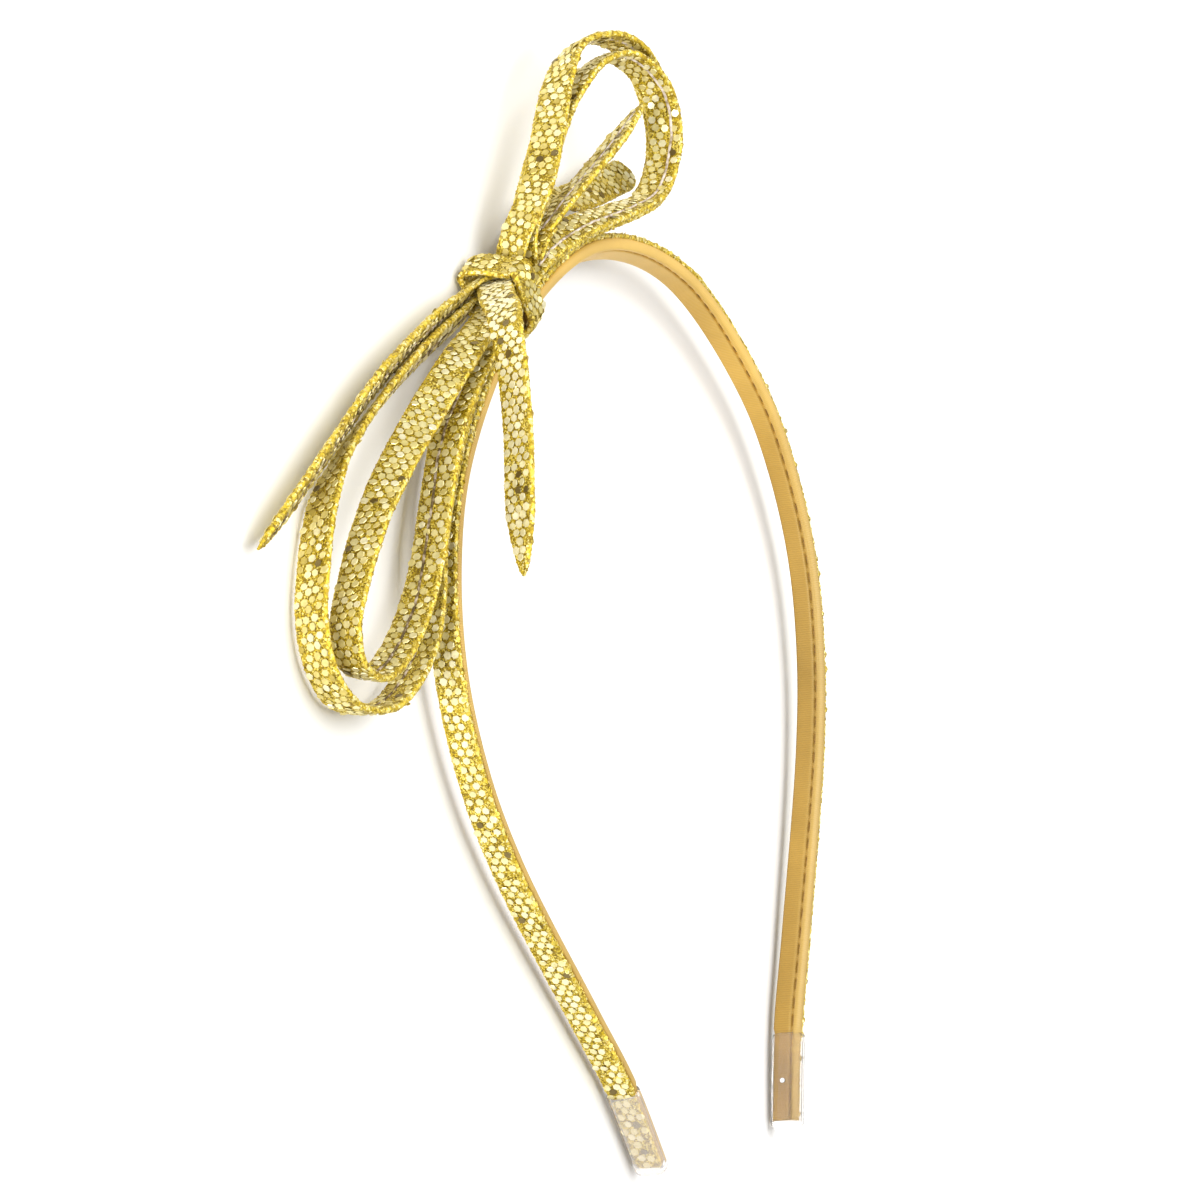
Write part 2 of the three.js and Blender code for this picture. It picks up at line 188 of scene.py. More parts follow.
def smooth_line(points, at, closed=False):
    """Points at the given row numbers on a centripetal curve through the rows."""
    points = np.asarray(points, float)
    count = len(points)
    if closed:
        rows = np.vstack([points[-1:], points, points[:2]])
    else:
        first = 2 * points[0] - points[1]
        last = 2 * points[-1] - points[-2]
        rows = np.vstack([first, points, last])
    spans = count if closed else count - 1
    row = np.clip(np.floor(at).astype(int), 0, spans - 1)
    t = (at - row)[:, None]
    p0, p1, p2, p3 = (rows[row + k] for k in range(4))
    d0, d1, d2 = (np.sqrt(np.linalg.norm(b - a, axis=1))[:, None]
                  for a, b in ((p0, p1), (p1, p2), (p2, p3)))
    m1 = ((p1 - p0) / d0 - (p2 - p0) / (d0 + d1) + (p2 - p1) / d1) * d1
    m2 = ((p2 - p1) / d1 - (p3 - p1) / (d1 + d2) + (p3 - p2) / d2) * d1
    curve = 2 * p1 - 2 * p2 + m1 + m2
    bend = -3 * p1 + 3 * p2 - 2 * m1 - m2
    return p1 + t * (m1 + t * (bend + t * curve))


def unit(vectors):
    """The same directions, each of length 1."""
    return vectors / np.linalg.norm(vectors, axis=-1, keepdims=True)


class Run:
    """A strip's middle line, with the directions along it, across it and out of its outer face."""

    SAMPLES_PER_ROW = 60

    def __init__(self, rows, upright=(0, 0, 1), closed=False):
        rows = np.asarray(rows, float)
        lean = rows[:, 3] if rows.shape[1] > 3 else np.zeros(len(rows))
        line = np.zeros((len(rows), 3))
        line[:, : min(3, rows.shape[1])] = rows[:, :3]
        spans = len(rows) if closed else len(rows) - 1
        at = np.linspace(0, spans, spans * self.SAMPLES_PER_ROW + 1)
        self.line = smooth_line(line, at, closed)
        step = 0.01
        ahead = smooth_line(line, np.clip(at + step, 0, spans), closed)
        behind = smooth_line(line, np.clip(at - step, 0, spans), closed)
        self.along = unit(ahead - behind)
        row = np.clip(np.floor(at).astype(int), 0, spans - 1)
        share = at - row
        share = share * share * (3 - 2 * share)
        angle = np.radians(lean[row] + share * (lean[(row + 1) % len(rows)] - lean[row]))[:, None]
        up = np.asarray(upright, float)
        across = unit(up - self.along * (self.along @ up)[:, None])
        self.across = across * np.cos(angle) - np.cross(self.along, across) * np.sin(angle)
        self.out = unit(np.cross(self.across, self.along))
        hops = np.linalg.norm(np.diff(self.line, axis=0), axis=1)
        self.distance = np.concatenate([[0], np.cumsum(hops)])
        self.length = self.distance[-1]

    def read(self, values, distance):
        return np.stack([np.interp(distance, self.distance, v) for v in values.T], -1)

    def place(self, distance, across, out):
        """Points in the scene, off the middle line by so much across and out."""
        point = self.read(self.line, distance)
        point = point + self.read(self.across, distance) * across[:, None]
        return laid(point + self.read(self.out, distance) * out[:, None])

    def ways(self, distance):
        return [turned(unit(self.read(v, distance))) for v in (self.along, self.across, self.out)]


def bent_grid(name, steps, rounds, surface, closed=False, mapped=False):
    """A grid bent into a closed skin. The surface gives points by the shares of run and of turn."""
    shape = bmesh.new()
    if mapped:
        shape.loops.layers.uv.new("cloth")
    bmesh.ops.create_grid(shape, x_segments=steps, y_segments=rounds, size=1, calc_uvs=mapped)
    mesh = bpy.data.meshes.new(name)
    shape.to_mesh(mesh)
    flat = np.empty(len(mesh.vertices) * 3, np.float32)
    mesh.vertices.foreach_get("co", flat)
    flat = (flat.reshape(-1, 3).astype(float) + 1) / 2
    points = surface(flat[:, 0], flat[:, 1])
    mesh.vertices.foreach_set("co", points.astype(np.float32).ravel())
    shape.clear()
    shape.from_mesh(mesh)
    bmesh.ops.remove_doubles(shape, verts=shape.verts, dist=WELD_GAP * MM)
    if not closed:
        bmesh.ops.holes_fill(shape, edges=shape.edges, sides=rounds + 2)
    bmesh.ops.recalc_face_normals(shape, faces=shape.faces)
    for face in shape.faces:
        face.smooth = len(face.verts) < 5
    shape.to_mesh(mesh)
    shape.free()
    piece = bpy.data.objects.new(name, mesh)
    bpy.context.scene.collection.objects.link(piece)
    return piece


def skin(name, run, outline, steps, rounds, closed=False, start=0.0, end=None):
    """A closed skin along a run. The outline gives across and out by distance and turn."""
    end = run.length if end is None else end

    def surface(share, turn):
        distance = start + share * (end - start)
        return run.place(distance, *outline(distance, turn))

    piece = bent_grid(name, steps, rounds, surface, closed, mapped=True)
    cloth_map = piece.data.uv_layers["cloth"].uv
    uv = np.empty(len(cloth_map) * 2, np.float32)
    cloth_map.foreach_get("vector", uv)
    uv = uv.reshape(-1, 2) * (end - start, TURN_IN_MAP) * MM
    cloth_map.foreach_set("vector", uv.astype(np.float32).ravel())
    return piece


def material(name, **values):
    """A plain material, with these values set on its shader."""
    made = bpy.data.materials.new(name)
    made.use_nodes = True
    shader = made.node_tree.nodes["Principled BSDF"]
    for socket, value in values.items():
        shader.inputs[socket.replace("_", " ")].default_value = value
    return made


def feed(made, node, socket, value):
    """Sets a node's input. A tuple of another node and its output is linked."""
    if isinstance(value, tuple) and isinstance(value[0], bpy.types.Node):
        made.node_tree.links.new(value[0].outputs[value[1]], node.inputs[socket])
    else:
        node.inputs[socket].default_value = value


def wire(made, kind, **values):
    """A node in a material, with its options and inputs set."""
    node = made.node_tree.nodes.new(kind)
    for key, value in values.items():
        name = key.replace("_", " ")
        if hasattr(node, key) and not name.istitle():
            setattr(node, key, value)
        else:
            feed(made, node, name, value)
    return node


def mixed(made, blend, share, first, second):
    """The blend of two colours, as a node and its output."""
    node = wire(made, "ShaderNodeMix", data_type="RGBA", blend_type=blend)
    share_socket, first_socket, second_socket, result = 0, 6, 7, 2
    feed(made, node, share_socket, share)
    feed(made, node, first_socket, first)
    feed(made, node, second_socket, second)
    return node, result


def share_of(made, value, whole):
    """A value as a share of a whole."""
    node = wire(made, "ShaderNodeMath", operation="DIVIDE")
    feed(made, node, 0, value)
    feed(made, node, 1, whole)
    return node, "Value"


def finish(made, **links):
    """Links nodes to the inputs of a material's shader."""
    shader = made.node_tree.nodes["Principled BSDF"]
    for key, link in links.items():
        feed(made, shader, key.replace("_", " "), link)


def ramp(made, fac, stops):
    """Colours by a factor, from stops of a place and a colour, as a node and its output."""
    node = wire(made, "ShaderNodeValToRGB", Fac=fac)
    while len(node.color_ramp.elements) < len(stops):
        node.color_ramp.elements.new(0.5)
    for element, (position, colour) in zip(node.color_ramp.elements, stops):
        element.position = position
        element.color = (*colour, 1)
    return node, "Color"


hoop = Run([(x, y, 0.0, HOOP_TWIST.get(row, 0.0)) for row, (x, y) in enumerate(HOOP_LINE)])


def squeeze_at(distance):
    """How much the cloth is pressed in at a distance: only under the caps."""
    from_tip = np.minimum(distance, hoop.length - distance)
    return TIP_SQUEEZE * np.clip((TIP_LENGTH + TIP_EASE - from_tip) / TIP_EASE, 0, 1)


def satin_section(distance, turn):
    """Across and out of the cover: its outline, with the groove drawn in at each stitch."""
    across, out = smooth_line(SATIN_OUTLINE, turn % 1 * len(SATIN_OUTLINE), closed=True).T
    inner_side = out < SATIN_INNER_SIDE
    squeeze = squeeze_at(distance)
    beat = np.cos(2 * np.pi * (distance - STITCH_START) / STITCH_PITCH)
    pulled = np.clip((beat - PULL_FROM) / PULL_EASE, LEAST_PULL, 1)
    slit = np.exp(-((across - SLIT_ACROSS) / SLIT_WIDTH) ** 2) * inner_side
    pressed = out + squeeze * inner_side + SLIT_DEPTH * slit * pulled
    return across * (1 - squeeze / SATIN_HALF_WIDTH), pressed


satin = skin("band_satin_cover", hoop, satin_section, int(hoop.length / SATIN_STEP), SATIN_ROUNDS,
             start=TIP_FLOOR, end=hoop.length - TIP_FLOOR)
satin_cloth = material("golden satin", Roughness=0.42, Sheen_Weight=0.35, Sheen_Roughness=0.4,
                       Sheen_Tint=(1.0, 0.8, 0.42, 1.0), Specular_IOR_Level=0.4)
cloth_uv = wire(satin_cloth, "ShaderNodeUVMap", uv_map="cloth")
ribs = wire(satin_cloth, "ShaderNodeTexWave", wave_type="BANDS", bands_direction="X",
            Vector=(cloth_uv, "UV"), Scale=1.0 / (SATIN_RIB * MM) / WAVE_RATE, Distortion=1.2,
            Detail=2.0, Detail_Scale=1.5)
where = wire(satin_cloth, "ShaderNodeTexCoord")
patches = wire(satin_cloth, "ShaderNodeTexNoise", Vector=(where, "Object"), Scale=90.0, Detail=3.0)
dye = ramp(satin_cloth, (patches, "Fac"), [(0.3, (0.68, 0.41, 0.062)), (0.7, (0.85, 0.525, 0.092))])
weave_tone = ramp(satin_cloth, (ribs, "Fac"), [(0.0, (0.8, 0.76, 0.7)), (0.6, (1.0, 1.0, 1.0))])
ribbed = mixed(satin_cloth, "MULTIPLY", RIB_CONTRAST, dye, weave_tone)
relief = wire(satin_cloth, "ShaderNodeBump", Strength=0.35, Distance=0.00008, Height=(ribs, "Fac"))
map_ways = wire(satin_cloth, "ShaderNodeSeparateXYZ", Vector=(cloth_uv, "UV"))
turn_share = share_of(satin_cloth, (map_ways, "Y"), TURN_IN_MAP * MM)
# Painted shade on the lower inner edge and under the glitter strip.
edge_shaded = mixed(satin_cloth, "MULTIPLY", 1.0, ribbed, ramp(satin_cloth, turn_share, PAINTED_EDGE_SHADE))
run_share = share_of(satin_cloth, (map_ways, "X"), (hoop.length - 2 * TIP_FLOOR) * MM)
# Painted light along the run: paler at the crown, darker down the arms.
lit_along_run = mixed(satin_cloth, "MULTIPLY", 1.0, edge_shaded, ramp(satin_cloth, run_share, PAINTED_CROWN_LIGHT))
# Painted highlight along the roll and beside the groove.
roll_highlight = ramp(satin_cloth, turn_share, [(place, (amount,) * 3) for place, amount in PAINTED_ROLL_HIGHLIGHT])
highlighted = mixed(satin_cloth, "MIX", roll_highlight, lit_along_run, PAINTED_HIGHLIGHT_TINT)
finish(satin_cloth, Base_Color=highlighted, Normal=(relief, "Normal"))
satin.data.materials.append(satin_cloth)
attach(satin, "root")
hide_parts("band_satin")

# Stitches in the satin's groove
# One row of brown thread, sewn through the cover close to the roll. Each stitch is a short arched
# piece of thread that dips into the cloth at both ends.
STITCH_LENGTH = 2.0
STITCH_RADIUS = 0.12
STITCH_OUT = -1.05
STITCH_DIP = 0.16
STITCH_STRAY = 0.03
STITCH_SLANT = 4.0
SLANT_SPREAD = 2.5
THREAD_SIDES = 8
THREAD_CORE = 0.55
THREAD_END = 0.45
THREAD_BELLY = 1.36
THREAD_CUTS = 5
STITCH_END_ROOM = 1.0
STITCH_SEED = 11


def copies(name, template, places, axes, scales, smooth=False):
    """Many copies of one small bmesh shape as one mesh: each has a place, three axes and a scale."""
    template.verts.ensure_lookup_table()
    template.verts.index_update()
    base = np.array([v.co for v in template.verts])
    faces = [[v.index for v in face.verts] for face in template.faces]
    template.free()
    count = len(places)
    points = np.einsum("vk,nk,nkc->nvc", base, scales, axes) + places[:, None, :]
    corners = np.concatenate([np.array(face) for face in faces])
    sizes = np.array([len(face) for face in faces])
    mesh = bpy.data.meshes.new(name)
    mesh.vertices.add(count * len(base))
    mesh.vertices.foreach_set("co", points.astype(np.float32).ravel())
    mesh.loops.add(count * len(corners))
    shifts = np.arange(count)[:, None] * len(base)
    mesh.loops.foreach_set("vertex_index", (corners[None, :] + shifts).astype(np.int32).ravel())
    mesh.polygons.add(count * len(sizes))
    starts = np.concatenate([[0], np.cumsum(np.tile(sizes, count))[:-1]])
    mesh.polygons.foreach_set("loop_start", starts.astype(np.int32))
    mesh.polygons.foreach_set("use_smooth", np.full(count * len(sizes), smooth))
    mesh.update(calc_edges=True)
    mesh.validate()
    piece = bpy.data.objects.new(name, mesh)
    bpy.context.scene.collection.objects.link(piece)
    return piece


thread = bmesh.new()
bmesh.ops.create_cone(thread, cap_ends=True, segments=THREAD_SIDES, radius1=THREAD_CORE,
                      radius2=THREAD_CORE, depth=2.0, matrix=Matrix.Rotation(math.pi / 2, 4, "Y"))
lengthwise = [e for e in thread.edges if abs(e.verts[0].co.x - e.verts[1].co.x) > 1]
bmesh.ops.subdivide_edges(thread, edges=lengthwise, cuts=THREAD_CUTS, use_grid_fill=True)
for vert in thread.verts:
    arch = 1 - vert.co.x ** 2
    girth = THREAD_END + THREAD_BELLY * math.sqrt(max(arch, 0))
    vert.co.y *= girth
    vert.co.z = vert.co.z * girth - (1 - arch)
bmesh.ops.recalc_face_normals(thread, faces=thread.faces)

stitch_at = np.arange(STITCH_START, hoop.length - TIP_FLOOR - STITCH_END_ROOM, STITCH_PITCH)
stitch_count = len(stitch_at)
stitch_random = np.random.default_rng(STITCH_SEED)
stitch_across = SLIT_ACROSS + stitch_random.normal(0, STITCH_STRAY, stitch_count)
stitch_out = np.full(stitch_count, STITCH_OUT) + squeeze_at(stitch_at)
along, across, out = hoop.ways(stitch_at)
swing = np.radians(stitch_random.normal(STITCH_SLANT, SLANT_SPREAD, stitch_count))[:, None]
stitch_axes = np.stack([along * np.cos(swing) + across * np.sin(swing),
                        across * np.cos(swing) - along * np.sin(swing), -out], 1)
stitch_scale = np.tile((STITCH_LENGTH / 2, STITCH_RADIUS, STITCH_DIP), (stitch_count, 1)) * MM
stitches = copies("band_stitches", thread, hoop.place(stitch_at, stitch_across, stitch_out),
                  stitch_axes, stitch_scale, smooth=True)
brown_thread = material("brown thread", Roughness=0.6)
twist_at = wire(brown_thread, "ShaderNodeTexCoord")
twist = wire(brown_thread, "ShaderNodeTexNoise", Vector=(twist_at, "Object"), Scale=2400.0)
thread_dye = ramp(brown_thread, (twist, "Fac"), [(0.3, (0.2, 0.1, 0.02)), (0.75, (0.4, 0.22, 0.05))])
finish(brown_thread, Base_Color=thread_dye)
stitches.data.materials.append(brown_thread)
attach(stitches, "root")

# Glitter strip outside the hoop
# A strip of gold cloth with both edges folded under, covered with fine gold grains and with rows of
# larger six-sided flakes. It is glued along the satin's outer side, and is a little slimmer on the
# plain arm. Grains are counted for each millimetre of the strip.
BAND_WIDTH = 4.4
BAND_STRIP_INNER = 0.16
BAND_STRIP_OUTER = 0.98
BAND_STEP = 1.0
BAND_DIP = 0.08
ARM_START = 215.0
ARM_EASE = 20.0
ARM_SLIMMING = 0.22
STRIP_ROUNDS = 40
EDGE_SHARE = 0.14
FACE_SQUARENESS = 6
FACES = [(0.0, 0.5 - EDGE_SHARE), (0.5, 1.0 - EDGE_SHARE)]
FOLDS = [(0.5 - EDGE_SHARE, 0.5), (1.0 - EDGE_SHARE, 1.0)]
FOLD_REACH = 0.058
FOLD_EASE = 0.02
FLAKE_SIDES = 6
FLAKE_RADIUS = 0.6
FLAKE_SPREAD = (0.9, 1.08)
FLAKE_THICK = 0.1
FLAKE_TRIM = 0.88
FLAKE_MARGIN = 0.5
FLAKE_SKEW = 14.0
FLAKE_STRAY_ALONG = 0.09
FLAKE_STRAY_ASIDE = 0.08
FLAKES_KEPT = 0.96
FLAKE_LEAN_LIMIT = 0.7
ROW_SHARE = 0.866
WIDEST_HALF = 4.0
SPARE_ROWS = 4
SEAM_ROOM = 0.42
DULL_SHARE = 0.02
SCRATCH_SHARE = 0.7
BAND_FLAKE_PITCH = 1.43
BAND_FLAKE_SINK = 0.01
BAND_FLAKE_TILT = 6.0
# Painted light: the band's flakes start paler than those of most bow strips, as a lit copy of the same
# foil.
BAND_FLAKE_LIT_PALENESS = 0.8
GRAIN = {"radius": 0.16, "thick": 0.06, "tilt": 16.0}
FOLD_GRAIN = {"radius": 0.2, "thick": 0.05, "tilt": 7.0}
LOOSE_BIT = {"radius": 0.38, "thick": 0.1, "tilt": 24.0}
# Painted light: the band's face grains start paler too.
BAND_GRAINS = 9
BAND_GRAIN_LIT_PALENESS = 0.6
BAND_FOLD_GRAINS = 10
BAND_FOLD_PALENESS = 0.4
BITS_END_SHARE = 0.62
BITS_PALENESS = 0.6
BAND_END_ROOM = 0.6
BAND_SEED = 23
TURN_STEP = 0.004


def pressed_section(turn, half_width, half_thick, dip):
    """Across and out of a flat strip with round folded edges: outer face first, then the inner."""
    face = 0.5 - EDGE_SHARE
    side = turn % 0.5
    sign = np.where(turn % 1 < 0.5, 1.0, -1.0)
    level = half_width - half_thick
    on_face = np.clip(side / face, 0, 1) * 2 - 1
    bend = np.pi / 2 - np.clip((side - face) / EDGE_SHARE, 0, 1) * np.pi
    flat = side <= face
    across = np.where(flat, on_face * level, level + half_thick * np.cos(bend))
    fall = dip * np.clip(1 - np.abs(on_face) ** FACE_SQUARENESS, 0, 1)
    out = np.where(flat, half_thick - fall, half_thick * np.sin(bend))
    return sign * across, sign * out


def glitter_cloth(name):
    """Gold cloth under the flakes: fine grains of several golds, brighter along the folds."""
    made = material(name, Roughness=0.4, Metallic=0.25, IOR=1.8, Specular_IOR_Level=0.6,
                    Specular_Tint=(1.0, 0.82, 0.3, 1.0))
    place = wire(made, "ShaderNodeTexCoord")
    grains = wire(made, "ShaderNodeTexVoronoi", Vector=(place, "Object"), Scale=4600.0)
    tone = wire(made, "ShaderNodeSeparateColor", Color=(grains, "Color"))
    gold = ramp(made, (tone, "Red"), [
        (0.0, (0.1, 0.056, 0.002)), (0.35, (0.29, 0.185, 0.004)), (0.7, (0.54, 0.38, 0.01)),
        (1.0, (0.9, 0.76, 0.2))])
    bits = wire(made, "ShaderNodeTexVoronoi", Vector=(place, "Object"), Scale=1900.0)
    bit_tone = wire(made, "ShaderNodeSeparateColor", Color=(bits, "Color"))
    bright = ramp(made, (bit_tone, "Green"), [
        (0.0, (0.2, 0.115, 0.006)), (0.25, (0.46, 0.3, 0.012)), (0.5, (0.8, 0.58, 0.03)),
        (0.8, (0.9, 0.72, 0.12)), (1.0, (0.97, 0.9, 0.5))])
    fold = wire(made, "ShaderNodeAttribute", attribute_name="fold")
    rise = wire(made, "ShaderNodeBump", Strength=0.7, Distance=0.00015, Height=(grains, "Distance"))
    finish(made, Base_Color=mixed(made, "MIX", (fold, "Fac"), gold, bright), Normal=(rise, "Normal"))
    return made


def flake_foil(name, stops):
    """Foil of the flakes: each flake has its own gold, by a number stored on it."""
    made = material(name, Roughness=0.36, Metallic=0.35, IOR=1.9, Specular_IOR_Level=0.75,
                    Specular_Tint=(1.0, 0.88, 0.46, 1.0))
    own = wire(made, "ShaderNodeAttribute", attribute_name="own_gold")
    place = wire(made, "ShaderNodeTexCoord")
    scratch = wire(made, "ShaderNodeTexNoise", Vector=(place, "Object"), Scale=1500.0, Detail=2.0)
    gold = ramp(made, (own, "Fac"), stops)
    dull = ramp(made, (scratch, "Fac"), [(0.35, (0.78, 0.76, 0.7)), (0.6, (1.0, 1.0, 1.0))])
    finish(made, Base_Color=mixed(made, "MULTIPLY", SCRATCH_SHARE, gold, dull))
    return made


base_cloth = glitter_cloth("gold glitter cloth")
foil = flake_foil("gold flakes", [
    (0.0, (0.09, 0.055, 0.012)), (0.024, (0.14, 0.09, 0.02)), (0.036, (0.46, 0.34, 0.05)),
    (0.12, (0.64, 0.51, 0.13)), (0.4, (0.77, 0.66, 0.25)), (0.85, (0.87, 0.79, 0.42)),
    (1.0, (0.93, 0.88, 0.62))])
grain_foil = flake_foil("gold grains", [
    (0.0, (0.14, 0.08, 0.008)), (0.3, (0.48, 0.33, 0.02)), (0.7, (0.8, 0.62, 0.07)),
    (1.0, (0.97, 0.88, 0.42))])


def hexagon():
    """A six-sided plate of radius and thickness 1, lying flat, with its upper rim trimmed in."""
    plate = bmesh.new()
    bmesh.ops.create_circle(plate, cap_ends=True, segments=FLAKE_SIDES, radius=1.0)
    raised = bmesh.ops.extrude_face_region(plate, geom=plate.faces[:])["geom"]
    top = [v for v in raised if isinstance(v, bmesh.types.BMVert)]
    bmesh.ops.translate(plate, verts=top, vec=(0, 0, 1))
    bmesh.ops.scale(plate, verts=top, vec=(FLAKE_TRIM, FLAKE_TRIM, 1))
    bmesh.ops.recalc_face_normals(plate, faces=plate.faces)
    return plate


def golds(random, count, paleness):
    """Each flake's own gold: a few stay dull, the others start at the strip's paleness, which is painted
    light where a strip is lit most.
    """
    own = random.uniform(0, 1, count)
    return np.where(own < DULL_SHARE, own, paleness + (1 - paleness) * own)


def scatter(name, points, normals, runs, random, foil_used, own, radius, thick, tilt):
    """Six-sided plates at the points, each tilted and turned a little by chance."""
    count = len(points)
    spin = random.uniform(0, 2 * np.pi / FLAKE_SIDES, count)[:, None]
    side = np.cross(normals, runs)
    lean_a = np.radians(tilt * random.normal(0, 1, count))[:, None]
    lean_b = np.radians(tilt * random.normal(0, 1, count))[:, None]
    slope_a = np.tan(np.clip(lean_a, -FLAKE_LEAN_LIMIT, FLAKE_LEAN_LIMIT))
    slope_b = np.tan(np.clip(lean_b, -FLAKE_LEAN_LIMIT, FLAKE_LEAN_LIMIT))
    up = unit(normals + runs * slope_a + side * slope_b)
    first = unit(runs * np.cos(spin) + side * np.sin(spin))
    first = unit(first - up * np.sum(first * up, 1, keepdims=True))
    second = np.cross(up, first)
    size = radius * random.uniform(*FLAKE_SPREAD, count)
    scales = np.stack([size, size, np.full(count, thick)], 1) * MM
    piece = copies(name, hexagon(), points, np.stack([first, second, up], 1), scales)
    mark = piece.data.attributes.new("own_gold", "FLOAT", "POINT")
    mark.data.foreach_set("value", np.repeat(own, 2 * FLAKE_SIDES).astype(np.float32))
    piece.data.materials.append(foil_used)
    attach(piece, "root")


def face_flakes(random, start, end, width_of, pitch, seam=None):
    """Distances and offsets of flakes on one face: staggered rows that lie a little askew."""
    skew = np.radians(random.uniform(-FLAKE_SKEW, FLAKE_SKEW))
    reach = int((end - start) / pitch / ROW_SHARE) + SPARE_ROWS
    row_numbers = np.arange(-SPARE_ROWS, reach)
    rows, spots = np.meshgrid(row_numbers, np.arange(-reach // 2, reach // 2), indexing="ij")
    ahead = rows * pitch * ROW_SHARE
    aside = (spots + 0.5 * (rows % 2)) * pitch
    distance = start + (ahead * np.cos(skew) - aside * np.sin(skew)).ravel()
    offset = (ahead * np.sin(skew) + aside * np.cos(skew)).ravel()
    near = (distance > start - 1) & (distance < end + 1) & (np.abs(offset) < WIDEST_HALF)
    distance = distance[near] + random.normal(0, FLAKE_STRAY_ALONG, near.sum())
    offset = offset[near] + random.normal(0, FLAKE_STRAY_ASIDE, near.sum())
    kept = random.uniform(0, 1, len(offset)) < FLAKES_KEPT
    kept &= (distance > start) & (distance < end)
    kept &= np.abs(offset) < width_of(distance) / 2 - FLAKE_MARGIN
    if seam is not None:
        kept &= np.abs(offset - seam) > SEAM_ROOM
    return distance[kept], offset[kept]


def band_section(distance, turn):
    """Across and out of the band's strip, pressed in under the caps."""
    squeeze = squeeze_at(distance)
    half_thick = (BAND_STRIP_OUTER - BAND_STRIP_INNER - squeeze) / 2
    slimmed = ARM_SLIMMING * np.clip((distance - ARM_START) / ARM_EASE, 0, 1)
    across, out = pressed_section(turn, BAND_WIDTH / 2 - squeeze - slimmed, half_thick, BAND_DIP)
    return across, out + (BAND_STRIP_OUTER + BAND_STRIP_INNER - squeeze) / 2


band_strip = skin("band_glitter_strip", hoop, band_section, int(hoop.length / BAND_STEP), STRIP_ROUNDS,
                  start=TIP_FLOOR, end=hoop.length - TIP_FLOOR)


def fold_marks(piece):
    """How far each point of a strip is along its round edges, from the strip's own UV map."""
    mesh = piece.data
    uv = np.empty(len(mesh.loops) * 2, np.float32)
    mesh.uv_layers["cloth"].uv.foreach_get("vector", uv)
    turn = uv.reshape(-1, 2)[:, 1] / (TURN_IN_MAP * MM)
    corner = np.empty(len(mesh.loops), np.int32)
    mesh.loops.foreach_get("vertex_index", corner)
    from_fold = np.abs(turn % 0.5 - (0.5 - EDGE_SHARE / 2))
    edge = np.clip((FOLD_REACH - from_fold) / FOLD_EASE, 0, 1)
    marks = np.zeros(len(mesh.vertices), np.float32)
    np.maximum.at(marks, corner, edge.astype(np.float32))
    mark = mesh.attributes.new("fold", "FLOAT", "POINT")
    mark.data.foreach_set("value", marks)


fold_marks(band_strip)
band_strip.data.materials.append(base_cloth)
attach(band_strip, "root")
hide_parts("band_glitter")


def even(size):
    """A width or thickness that is the same at every distance."""
    return lambda distance: np.full_like(distance, size)


band_random = np.random.default_rng(BAND_SEED)
free_start = TIP_FLOOR + BAND_END_ROOM
free_end = hoop.length - free_start
flake_at, flake_across = face_flakes(band_random, free_start, free_end, even(BAND_WIDTH),
                                     BAND_FLAKE_PITCH)
along, across, out = hoop.ways(flake_at)
flake_out = BAND_STRIP_OUTER - squeeze_at(flake_at) - BAND_FLAKE_SINK
flake_golds = golds(band_random, len(flake_at), BAND_FLAKE_LIT_PALENESS)
scatter("band_flakes", hoop.place(flake_at, flake_across, flake_out), out, along, band_random, foil,
        flake_golds, FLAKE_RADIUS, FLAKE_THICK, BAND_FLAKE_TILT)


def grains_over(name, run, section, start, end, turns, count, random, paleness, radius, thick, tilt):
    """Small grains strewn over parts of a strip's section, standing square on its surface."""
    distance = random.uniform(start, end, count)
    low, high = np.array(turns)[random.integers(0, len(turns), count)].T
    turn = low + random.uniform(0, 1, count) * (high - low)
    here = run.place(distance, *section(distance, turn))
    beyond = run.place(distance, *section(distance, turn + TURN_STEP))
    along = run.ways(distance)[0]
    normal = unit(np.cross(along, beyond - here))
    nowhere = np.zeros(count)
    middle = run.place(distance, nowhere, nowhere)
    inwards = np.sum(normal * (here - middle), 1) < 0
    normal[inwards] *= -1
    own = paleness + (1 - paleness) * random.uniform(0, 1, count)
    scatter(name, here, normal, along, random, grain_foil, own, radius, thick, tilt)


grains_over("band_grains", hoop, band_section, free_start, free_end, FACES[:1],
            int(hoop.length * BAND_GRAINS), band_random, BAND_GRAIN_LIT_PALENESS, **GRAIN)
grains_over("band_fold_grains", hoop, band_section, free_start, free_end, FOLDS,
            int(hoop.length * BAND_FOLD_GRAINS), band_random, BAND_FOLD_PALENESS, **FOLD_GRAIN)
bits_end = hoop.length * BITS_END_SHARE
grains_over("band_fold_bits", hoop, band_section, TIP_LENGTH + TIP_EASE, bits_end, FOLDS[:1],
            int(bits_end), band_random, BITS_PALENESS, **LOOSE_BIT)

# Clear caps on the tips
# Soft clear plastic sleeves, pushed over both ends of the hoop. Each has a thin wall, a rounded closed
# bottom and a plain open mouth. The one on the bow's arm is milkier.
CAP_CLEARNESS = {"tip_cap_left": 0.84, "tip_cap_right": 0.94}
CAP_WALL = 0.4
CAP_CLEARANCE = 0.1
CAP_ROOM = 1.44
CAP_LIP = 0.14
CAP_CORNER = 0.75
CAP_ROUNDING = 1.0
CAP_BENDS = (15, 30, 45, 60, 75, 90)
CAP_STEPS = 14
CAP_ROUNDS = 40


